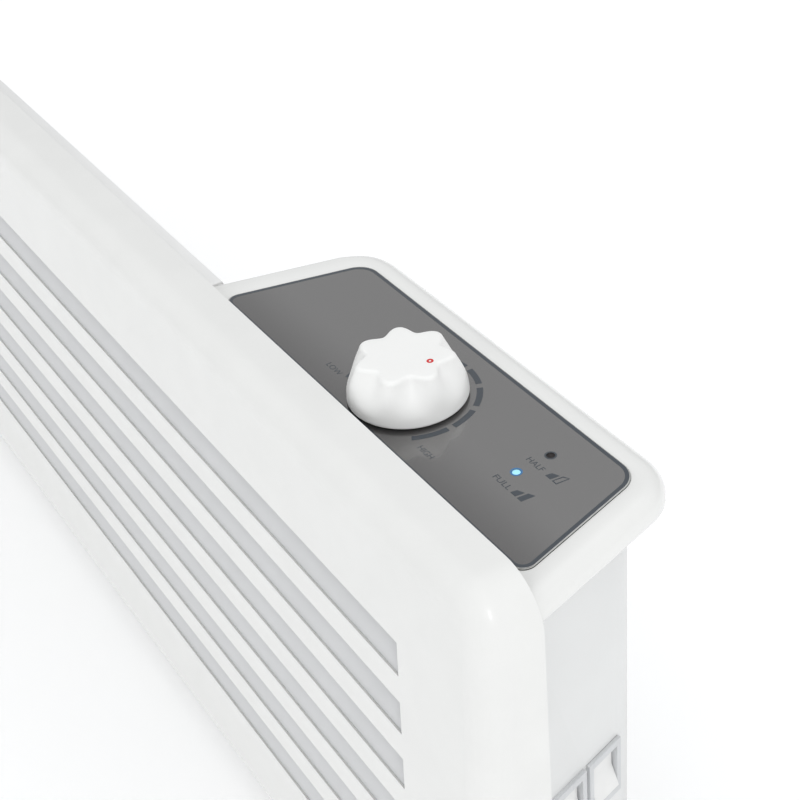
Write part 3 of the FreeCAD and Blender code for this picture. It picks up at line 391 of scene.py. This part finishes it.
KNOB_X, KNOB_Y, LABEL_Z = 285 * MM, 4.8 * MM, 234 * MM
LABEL_HALF, SPLAY = 85.9 * MM, 0.27
LABEL_FRONT, LABEL_BACK, LABEL_ROUND = -20.8 * MM, 31.7 * MM, 9 * MM
FRONT_ROUND = 4.5 * MM
BEZEL_FRONT = -22.9 * MM


def box_outline(out, front, front_round):
    """Outline of the control box's top, moved outwards by out: sides that spread towards the
    room, a straight back with round corners and a straight front. Each corner is an arc about a
    centre that stays put, so the arc's radius grows with out."""
    slant = np.sqrt(1 + SPLAY * SPLAY)
    lean = np.arctan(SPLAY)

    def half_width(y, offset):
        return LABEL_HALF + offset * slant - SPLAY * y

    back_y = LABEL_BACK - LABEL_ROUND
    centre = np.array([half_width(back_y, -LABEL_ROUND), back_y])
    arc = np.linspace(lean, np.pi / 2, 15)
    back = centre + (LABEL_ROUND + out) * np.stack([np.cos(arc), np.sin(arc)], 1)
    front_centre_y = front + front_round
    front_centre = np.array([half_width(front_centre_y, out - front_round), front_centre_y])
    arc = np.linspace(-np.pi / 2, lean, 15)
    low = front_centre + front_round * np.stack([np.cos(arc), np.sin(arc)], 1)
    right = np.concatenate([low, back])
    left = right[::-1] * np.array([-1, 1])
    return np.concatenate([right, left]) + np.array([KNOB_X, KNOB_Y])


def stack_outlines(stations):
    """Rows of a skin from (out, height, front line, front corner radius) per row."""
    rows = []
    for out, height, front, front_round in stations:
        ring = box_outline(out, front, front_round)
        rows.append(np.column_stack([ring, np.full(len(ring), height)]))
    return np.array(rows)


BEZEL_LEFT, LEFT_TURN, LEFT_SPLAY, LEFT_ROLL = 103 * MM, 15.1 * MM, 0.324, 1.6 * MM


def widen_left(rows, height_rise):
    """Give the lid's rolled rim its own left side. There the rim's line is straight beside the
    casing's ledge and then slants inwards; its roll is tight, so each row keeps its height but
    lies where a circle of the tight radius has that height. The change fades in over the corner."""
    half = rows.shape[1] // 2
    weight = np.zeros(rows.shape[1])
    weight[half:half + 15] = np.linspace(0, 1, 16)[1:]
    weight[half + 15:] = 1.0
    y = rows[..., 1] - KNOB_Y
    line = -BEZEL_LEFT + LEFT_SPLAY * np.maximum(y + LEFT_TURN, 0.0) + KNOB_X
    drop = np.clip(height_rise, 0.0, LEFT_ROLL)
    tuck = LEFT_ROLL - np.sqrt(LEFT_ROLL ** 2 - (LEFT_ROLL - drop) ** 2)
    x = line + tuck[:, None]
    rows[..., 0] += weight * (x - rows[..., 0])
    return rows


DECK = LABEL_Z - 0.4 * MM
ROLL, RIM_OUT = 6.5 * MM, 10.5 * MM
BEZEL_BASE = LABEL_Z - 8.5 * MM
WALL_IN, WALL_FRONT = -4.4 * MM, LABEL_FRONT + 4 * MM
SEAT_GAP = 0.2 * MM                 # play between the label and its recess
tight = 0.01 * MM                   # stands for a square corner
stations = [(SEAT_GAP, LABEL_Z - 1.0 * MM, LABEL_FRONT - SEAT_GAP, FRONT_ROUND),
            (SEAT_GAP, DECK - 0.25 * MM, LABEL_FRONT - SEAT_GAP, FRONT_ROUND),
            (0.28 * MM, DECK - 0.07 * MM, LABEL_FRONT - 0.28 * MM, FRONT_ROUND),
            (0.45 * MM, DECK, LABEL_FRONT - 0.45 * MM, FRONT_ROUND),
            (RIM_OUT - ROLL, DECK, BEZEL_FRONT, tight)]
for angle in np.linspace(0, np.pi / 2, 13)[1:]:
    stations.append((RIM_OUT - ROLL + ROLL * np.sin(angle), DECK - ROLL + ROLL * np.cos(angle),
                     BEZEL_FRONT, tight))
stations += [(RIM_OUT, BEZEL_BASE + 0.4 * MM, BEZEL_FRONT, tight),
             (RIM_OUT - 0.12 * MM, BEZEL_BASE + 0.12 * MM, BEZEL_FRONT, tight),
             (RIM_OUT - 0.4 * MM, BEZEL_BASE, BEZEL_FRONT, tight),
             (WALL_IN, BEZEL_BASE, WALL_FRONT, tight),
             (WALL_IN, LABEL_Z - 3 * MM, WALL_FRONT, tight),
             stations[0]]
lid_white = Finish("lid_gloss_white", (0.79, 0.79, 0.775), 0.2, coat=0.4)
lid_white.tint(lid_white.noise(35.0), (0.782, 0.782, 0.768), (0.798, 0.798, 0.782))
lid_white.relief(lid_white.noise(240.0, 1.0), 0.00002, 0.3)
lid_rows = stack_outlines(stations)
rolled = slice(4, 19)               # from the deck's edge to the foot of the rim
lid_rows[rolled] = widen_left(lid_rows[rolled], DECK - lid_rows[rolled, 0, 2])
bezel = add_piece("lid_frame", mesh_of("lid_frame", [lid_rows], around=True), lid_white)
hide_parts("control_bezel")

# ------------------------------------------------------------------ label
# A printed plate under a clear gloss film lies in the recess: metallic grey with a fine sparkle, a dark
# border, the dial's segments and words, and the two power marks. Towards the room it darkens with
# painted shade beside the panel's rim. The film's polished edge is a lighter grey, partly painted
# highlight.
film = Finish("label_film", (0.21, 0.206, 0.204), 0.16, metallic=0.7, coat=1.0)
across = film.node("ShaderNodeSeparateXYZ")
film.join(film.place, across.inputs["Vector"])
# Painted shade: the film's grey darkens towards the room, beside the panel's rim.
shade = film.node("ShaderNodeMapRange", in_From_Min=KNOB_Y + LABEL_FRONT - 2 * MM,
                  in_From_Max=KNOB_Y + 2 * MM, in_To_Min=0.0, in_To_Max=0.8)
shade.interpolation_type = "SMOOTHSTEP"
film.join(across.outputs["Y"], shade.inputs["Value"])
# The fine sparkle is added to the painted shade, and the sum sets the film's grey.
sparkle_and_shade = film.node("ShaderNodeMath", operation="MULTIPLY_ADD")
sparkle_and_shade.inputs[1].default_value = 0.18
film.join(film.cells(3800.0), sparkle_and_shade.inputs[0]).join(shade.outputs["Result"], sparkle_and_shade.inputs[2])
film.tint(sparkle_and_shade.outputs["Value"], (0.125, 0.121, 0.120), (0.215, 0.211, 0.209), 0.0, 1.0)
film.polish(film.cells(2600.0), 0.12, 0.18)
dress(film, "label_plate")

# The edge band's lighter grey is partly the pale look of the clear film's edge, partly a painted
# highlight along it.
clear_edge_and_highlight = Finish("film_edge_and_highlight", (0.42, 0.42, 0.41), 0.12, coat=1.0)
clear_edge_and_highlight.tint(clear_edge_and_highlight.noise(300.0), (0.36, 0.36, 0.35), (0.48, 0.48, 0.46))
edge_profile = ((-0.2, -0.3), (-0.2, 0.015), (-0.02, 0.015), (0.19, -0.16), (0.19, -0.3), (-0.2, -0.3))
edge_stations = [(out * MM, LABEL_Z + height * MM, LABEL_FRONT - out * MM, FRONT_ROUND)
                 for out, height in edge_profile]
add_piece("label_film_edge", mesh_of("label_film_edge", [stack_outlines(edge_stations)], around=True),
          clear_edge_and_highlight)

print_ink = Finish("slate_ink", (0.012, 0.022, 0.035), 0.35, coat=1.0)
print_ink.tint(print_ink.noise(900.0), (0.010, 0.020, 0.032), (0.014, 0.024, 0.038))
PRINT_Z = LABEL_Z + 0.02 * MM


def flat_strip(name, inner, outer, finish, closed=False):
    """Ink between two lines of points, laid flat on the film."""
    lines = np.array([outer, inner])
    grid = np.concatenate([lines, np.full(lines.shape[:2] + (1,), PRINT_Z)], -1)
    return add_piece(name, mesh_of(name, [grid], around=closed), finish)


outer_line, inner_line = [box_outline(-inset, LABEL_FRONT + inset, FRONT_ROUND - inset)
                          for inset in (0.2 * MM, 1.5 * MM)]
flat_strip("border_ink", inner_line, outer_line, print_ink, closed=True)


def ring_arc(radius, start, end, steps=24):
    """Points of a circle about the knob's axis between two angles in degrees."""
    angle = np.radians(np.linspace(start, end, steps))
    return np.stack([KNOB_X + radius * np.cos(angle), KNOB_Y + radius * np.sin(angle)], 1)


DIAL_INNER, DIAL_OUTER = 22.1 * MM, 24.2 * MM
segments = [(-30, 0), (5.6, 30), (36, 60.5), (66, 87.5)]
segments += [(start + 3, start + 27) for start in (90, 120, 150, 180)]
for number, (start, end) in enumerate(segments):
    flat_strip("dial_segment_%d" % number, ring_arc(DIAL_INNER, start, end),
               ring_arc(DIAL_OUTER, start, end), print_ink)


def word(text, left, base, width, cap=2.1 * MM):
    """A printed word: letters made a flat mesh, sized to a cap height and a width."""
    curve = bpy.data.curves.new("word_" + text.lower(), "FONT")
    curve.body = text
    curve.size = 1.0
    letters = bpy.data.objects.new("letters", curve)
    bpy.context.scene.collection.objects.link(letters)
    bpy.context.view_layer.update()
    settled = letters.evaluated_get(bpy.context.evaluated_depsgraph_get())
    mesh = bpy.data.meshes.new_from_object(settled)
    bpy.data.objects.remove(letters)
    points = np.array([vertex.co for vertex in mesh.vertices])
    low, high = points.min(0), points.max(0)
    scale = np.array([width / (high[0] - low[0]), cap / (high[1] - low[1]), 1.0])
    points = (points - low) * scale + np.array([KNOB_X + left, KNOB_Y + base, PRINT_Z])
    mesh.vertices.foreach_set("co", points.ravel())
    mesh.name = "word_" + text.lower()
    return add_piece(mesh.name, mesh, print_ink)


# Each word's left end and base line from the knob's axis, and its width, in mm.
for text, left, base, width in (("LOW", -31.8, -12.5, 8.0), ("HIGH", 25.1, -12.9, 7.2),
                                ("HALF", 50.5, 10.1, 7.5), ("FULL", 51.0, -2.7, 8.0)):
    word(text, left * MM, base * MM, width * MM)


def bar(left, right, base, top_left, top_right, inset=0.0):
    """Outline of one slanted bar of a power mark; an inset shrinks it evenly for its open middle."""
    lean = 0.5 * MM
    corners = np.array([(left + inset, base + inset), (right - inset, base + inset),
                        (right + lean - inset, top_right - inset),
                        (left + lean + inset, top_left - inset)])
    return corners + np.array([KNOB_X, KNOB_Y])


def power_mark(name, base, open_second):
    """Two rising bars; the second is only an outline when half of the power is on."""
    low_bar = bar(60.2 * MM, 62.7 * MM, base, base + 2.2 * MM, base + 3.3 * MM)
    flat_strip(name + "_low_bar", low_bar[[0, 1]], low_bar[[3, 2]], print_ink)
    high = [bar(63.5 * MM, 65.7 * MM, base, base + 3.9 * MM, base + 4.9 * MM, inset)
            for inset in (0.0, 0.4 * MM)]
    if open_second:
        flat_strip(name + "_high_bar", high[1], high[0], print_ink, closed=True)
    else:
        flat_strip(name + "_high_bar", high[0][[0, 1]], high[0][[3, 2]], print_ink)


power_mark("half_mark", 10.2 * MM, True)
power_mark("full_mark", -2.6 * MM, False)

# ------------------------------------------------------------------ indicator lamps
# Two clear pins bring the light of small lamps up through the label; the one for full power is
# lit. A printed ring surrounds each hole, and the lit one glows in it.
LAMP_X, LAMP_FULL_Y, LAMP_HALF_Y = KNOB_X + 53.6 * MM, KNOB_Y + 4.4 * MM, KNOB_Y + 17.2 * MM


def lamp_ring(name, y, finish):
    """Flat ring of ink about a lamp's hole."""
    angle = np.linspace(0, 2 * np.pi, 41)[:-1]
    circle = np.stack([np.cos(angle), np.sin(angle)], 1)
    inner, outer = [np.array([LAMP_X, y]) + radius * circle for radius in (1.38 * MM, 1.95 * MM)]
    return flat_strip(name, inner, outer, finish, closed=True)


def glowing(name, colour, glow, strength):
    """A clear finish that also gives off light of its own."""
    lit = Finish(name, colour, 0.25, coat=0.5)
    lit.shader.inputs["Emission Color"].default_value = (*glow, 1.0)
    lit.shader.inputs["Emission Strength"].default_value = strength
    lit.tint(lit.noise(800.0), tuple(0.94 * part for part in colour), colour)
    return lit


blue_ring = glowing("blue_ring_glow", (0.02, 0.09, 0.20), (0.01, 0.10, 0.26), 0.6)
lit_pin = glowing("lit_pin", (0.30, 0.60, 0.80), (0.25, 0.62, 0.85), 0.55)
dark_pin = Finish("dark_pin", (0.02, 0.016, 0.016), 0.4, specular=0.25)
dark_pin.tint(dark_pin.noise(1200.0), (0.010, 0.008, 0.008), (0.03, 0.024, 0.024))
lamp_ring("full_lamp_ring", LAMP_FULL_Y, blue_ring)
lamp_ring("half_lamp_ring", LAMP_HALF_Y, print_ink)
dress(lit_pin, "full_light_guide")
dress(dark_pin, "half_light_guide")

board_green = Finish("lamp_board", (0.03, 0.13, 0.07), 0.4, coat=0.4)
board_green.tint(board_green.noise(500.0), (0.022, 0.10, 0.055), (0.04, 0.16, 0.085))
dress(board_green, "indicator_board")
lamp_glass = Finish("lamp_lens", (0.62, 0.82, 0.95), 0.15, coat=0.6)
lamp_glass.tint(lamp_glass.noise(900.0), (0.56, 0.78, 0.92), (0.68, 0.86, 0.97))
dress(lamp_glass, "indicator_lamps")

# ------------------------------------------------------------------ thermostat and knob
# The knob is one soft white moulding: a round skirt that narrows to a wavy crown with seven lobes.
# The hollows between the lobes fade out downwards, so the skirt's edge is round. It is pushed onto
# the thermostat's shaft, and a small red plug in its crown is the pointer.
KNOB_BASE = LABEL_Z + 1.0 * MM
KNOB_HIGH = 15.2 * MM
LOBES = 7
POINTER = np.radians(26.5)          # the pointer sits in line with a hollow
CROWN_ROUND = 1.3                   # radius of the crown's edge, in mm
CROWN_SINK = 0.07                   # the crown's depth below the pointer dot, in mm
HOLLOW = 3.5                        # depth of the hollows at the crown, in mm


def knob_skin(turns=196):
    """Rows from the skirt's lower edge to the crown's middle. The radius is the skirt's profile
    less a cosine wave of seven periods, whose depth grows smoothly from nothing to the crown."""
    angle = np.linspace(0, 2 * np.pi, turns + 1)[:-1]
    shoulder = KNOB_HIGH / MM - CROWN_ROUND - CROWN_SINK
    height = np.concatenate([np.linspace(0.35, shoulder, 32),
                             shoulder + CROWN_ROUND * np.sin(np.linspace(0, np.pi / 2, 11)[1:])])
    skirt = np.interp(height, [0, 3, 7, 10, 12, 13.8, 15.2],
                      [20.0, 19.75, 19.2, 18.3, 17.4, 16.6, 16.2])
    skirt = np.polynomial.Polynomial.fit(height, skirt, 5)(height)
    growth = np.clip((height - 2.5) / 12.0, 0.0, 1.0)
    growth = growth * growth * (3 - 2 * growth)
    wave = (1 + np.cos(LOBES * (angle - POINTER))) / 2
    radius = skirt[:, None] - HOLLOW * growth[:, None] * wave
    crown = np.maximum(height - shoulder, 0) / CROWN_ROUND
    radius -= (CROWN_ROUND * (1 - np.sqrt(np.maximum(1 - crown ** 2, 0))))[:, None]
    circle = np.stack([np.cos(angle), np.sin(angle), np.zeros(turns)], 1)
    upright = np.array([0.0, 0.0, 1.0])
    rows = [reach[:, None] * circle + z * upright for reach, z in zip(radius, height)]
    for share in (0.9, 0.6, 0.3):
        shrink = share / (share + 0.3)
        rows.append(rows[-1] * np.array([shrink, shrink, 1.0]))
    rows.append(np.tile((KNOB_HIGH / MM - CROWN_SINK) * upright, (turns, 1)))
    hub = [(0.0, 11.4), (3.0, 11.4), (3.0, 0.8), (6.0, 0.8), (6.0, 11.4)]
    wall = [(13.0, 11.4), (17.6, 0.0), (19.65, 0.0)]
    under = [reach * circle + z * upright for reach, z in hub + wall]
    return np.array(under + rows) * MM + np.array([KNOB_X, KNOB_Y, KNOB_BASE])


knob_white = Finish("knob_soft_white", (0.86, 0.86, 0.845), 0.45, coat=0.08)
knob_white.tint(knob_white.noise(70.0), (0.862, 0.862, 0.848), (0.878, 0.878, 0.864))
knob_white.relief(knob_white.noise(500.0, 1.0), 0.00002, 0.3)
knob = add_piece("fluted_knob", mesh_of("fluted_knob", [knob_skin()], around=True), knob_white,
                 body="knob")
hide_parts("control_knob")

DOT_REACH = 9.5 * MM
DOT_X, DOT_Y = KNOB_X + DOT_REACH * np.cos(POINTER), KNOB_Y + DOT_REACH * np.sin(POINTER)


def dot_skin(steps=40):
    """Red plug: rings of a given reach and rise in mm, wide and low at first; the middle dips."""
    angle = np.linspace(0, 2 * np.pi, steps + 1)[:-1]
    rows = []
    for reach, rise in ((1.15, -0.5), (1.15, -0.05), (1.0, 0.0), (0.5, 0.0), (0.36, -0.08), (0.0, -0.1)):
        height = np.full(steps, KNOB_BASE + KNOB_HIGH + rise * MM)
        rows.append(np.stack([DOT_X + reach * MM * np.cos(angle), DOT_Y + reach * MM * np.sin(angle),
                              height], 1))
    return np.array(rows)


dot_red = Finish("pointer_red", (0.72, 0.02, 0.02), 0.4, coat=0.1)
from_centre = dot_red.node("ShaderNodeVectorMath", operation="DISTANCE")
dot_red.join(dot_red.place, from_centre.inputs[0])
from_centre.inputs[1].default_value = (DOT_X, DOT_Y, KNOB_BASE + KNOB_HIGH)
in_mm = dot_red.node("ShaderNodeMath", operation="MULTIPLY")
in_mm.inputs[1].default_value = 1000.0
dot_red.join(from_centre.outputs["Value"], in_mm.inputs[0])
dot_red.tint(in_mm.outputs["Value"], (0.68, 0.13, 0.11), (0.62, 0.02, 0.02), 0.15, 0.45)
pointer = add_piece("pointer_dot", mesh_of("pointer_dot", [dot_skin()], around=True), dot_red,
                    body="knob")
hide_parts("knob_pointer")

turned_steel = Finish("turned_steel", (0.56, 0.56, 0.57), 0.3, metallic=1.0)
turned_steel.stretched((600.0, 600.0, 40.0))
turned_steel.tint(turned_steel.noise(1.0, 3.0), (0.46, 0.46, 0.47), (0.66, 0.66, 0.67))
turned_steel.relief(turned_steel.noise(1.0, 3.0), 0.00002)
dress(turned_steel, "thermostat_shaft")
bulb_copper = Finish("bulb_copper", (0.72, 0.38, 0.22), 0.32, metallic=1.0)
bulb_copper.tint(bulb_copper.noise(160.0, 3.0), (0.58, 0.28, 0.16), (0.80, 0.46, 0.28))
dress(bulb_copper, "thermostat_sensor")

# ------------------------------------------------------------------ side switches
# Two snap-in rocker switches in the box's right wall, one for each half of the power. Both are
# shown tipped with their upper half pressed in.
switch_white = Finish("switch_white", (0.78, 0.78, 0.77), 0.28, coat=0.3)
switch_white.tint(switch_white.noise(120.0), (0.765, 0.765, 0.755), (0.795, 0.795, 0.785))
switch_white.relief(switch_white.noise(900.0), 0.00002)
frame_grey = Finish("switch_frame_grey", (0.60, 0.61, 0.62), 0.4)
frame_grey.tint(frame_grey.noise(120.0), (0.58, 0.59, 0.60), (0.62, 0.63, 0.64))
frame_grey.relief(frame_grey.noise(1500.0), 0.00003)
for power in ("half", "full"):
    rounded_copy("rocker_frame_" + power, "switch_frame_" + power, frame_grey,
                 0.3 * MM)
    rounded_copy("rocker_" + power, "switch_rocker_" + power, switch_white,
                 0.35 * MM, body=power + "_rocker")

# ------------------------------------------------------------------ cord inlet, terminals and leads
# A grey inlet ring in the box's back wall, a three-pole terminal block on its floor, and the two
# silicone leads that run from the hot chamber through the bay into the box.
gland_grey = Finish("gland_grey", (0.30, 0.31, 0.32), 0.5)
gland_grey.tint(gland_grey.noise(200.0, 3.0), (0.27, 0.28, 0.29), (0.33, 0.34, 0.35))
gland_grey.relief(gland_grey.noise(1500.0), 0.00006)
rounded_copy("cord_gland", "cord_inlet_ring", gland_grey, 0.5 * MM)

terminal_moulding = Finish("terminal_moulding", (0.74, 0.73, 0.68), 0.35)
terminal_moulding.tint(terminal_moulding.noise(150.0), (0.71, 0.70, 0.65), (0.77, 0.76, 0.71))
dress(terminal_moulding, "terminal_block")


def silicone(name, dark, light):
    """Soft matt rubber of a lead's sleeve, between two shades of one colour."""
    sleeve = Finish(name, light, 0.45)
    sleeve.tint(sleeve.noise(400.0, 3.0), dark, light)
    sleeve.relief(sleeve.noise(1800.0), 0.00003)
    return sleeve


dress(silicone("red_silicone", (0.34, 0.02, 0.015), (0.48, 0.04, 0.03)), "element_lead")
dress(silicone("green_silicone", (0.06, 0.24, 0.05), (0.11, 0.34, 0.08)), "earth_lead")

# ------------------------------------------------------------------ screws
# Zinc-plated pan-head screws: brackets to casing, feet to base, box to bay cover, thermostat
# to deck.
plated = Finish("zinc_plated_screw", (0.66, 0.67, 0.68), 0.26, metallic=1.0)
plated.tint(plated.noise(260.0, 3.0), (0.56, 0.57, 0.58), (0.74, 0.75, 0.76))
plated.polish(plated.noise(500.0), 0.2, 0.36)
dress(plated, "bracket_screws", "foot_screws", "housing_screws", "thermostat_screws")

# ------------------------------------------------------------------ the set
# A plain white floor under a bright, even studio: a broad white dome, brighter on the camera's
# side and overhead, with one large soft box above. The camera looks down over the right end.
bpy.ops.mesh.primitive_plane_add(size=12.0, location=(0, 0, 0))
floor = bpy.context.object
floor.name = "studio_floor"
paper = Finish("studio_paper", (0.93, 0.93, 0.93), 0.9, specular=0.1)
paper.tint(paper.noise(3.0), (0.925, 0.925, 0.925), (0.935, 0.935, 0.935))
paper.shader.inputs["Emission Color"].default_value = (1.0, 1.0, 1.0, 1.0)
paper.shader.inputs["Emission Strength"].default_value = 0.13
floor.data.materials.append(paper.material)

world = bpy.data.worlds.new("studio_dome")
bpy.context.scene.world = world
world.use_nodes = True
dome = world.node_tree
direction = dome.nodes.new("ShaderNodeTexCoord")
towards = dome.nodes.new("ShaderNodeVectorMath")
towards.operation = "DOT_PRODUCT"
towards.inputs[1].default_value = Vector((0.50, -0.45, 0.74)).normalized()
dome.links.new(direction.outputs["Generated"], towards.inputs[0])
fade = dome.nodes.new("ShaderNodeMapRange")
fade.interpolation_type = "SMOOTHSTEP"
for socket, number in (("From Min", -0.75), ("From Max", 0.6), ("To Min", 0.42), ("To Max", 1.0)):
    fade.inputs[socket].default_value = number
dome.links.new(towards.outputs["Value"], fade.inputs["Value"])
dome.links.new(fade.outputs["Result"], dome.nodes["Background"].inputs["Strength"])
dome.nodes["Background"].inputs["Color"].default_value = (0.98, 0.99, 1.0, 1.0)


def soft_box(name, place, aim, width, height, watts):
    """Rectangular area light that faces a point."""
    light = bpy.data.lights.new(name, "AREA")
    light.shape = "RECTANGLE"
    light.size, light.size_y, light.energy = width, height, watts
    lamp = bpy.data.objects.new(name, light)
    lamp.location = place
    lamp.rotation_euler = (Vector(aim) - Vector(place)).to_track_quat("-Z", "Y").to_euler()
    bpy.context.scene.collection.objects.link(lamp)


soft_box("overhead_box", (0.5, 0.3, 2.2), (0.25, 0.0, 0.2), 2.2, 2.2, 4.0)
soft_box("edge_strip", (1.7, -0.5, 1.5), (0.3, 0.0, 0.2), 0.25, 0.6, 4.0)

camera_data = bpy.data.cameras.new("camera")
camera_data.sensor_width = 36.0
camera_data.lens = 72.38
camera_data.clip_end = 50.0
camera = bpy.data.objects.new("camera", camera_data)
right = Vector((0.5327, 0.8422, -0.0835))
up = Vector((-0.4656, 0.3740, 0.8021))
ahead = Vector((-0.7067, 0.3884, -0.5913))
turned = Matrix((right.normalized(), up.normalized(), -ahead.normalized())).transposed().to_4x4()
camera.matrix_world = Matrix.Translation((0.65125, -0.19971, 0.53978)) @ turned
bpy.context.scene.collection.objects.link(camera)
bpy.context.scene.camera = camera
bpy.context.scene.view_settings.view_transform = "Standard"
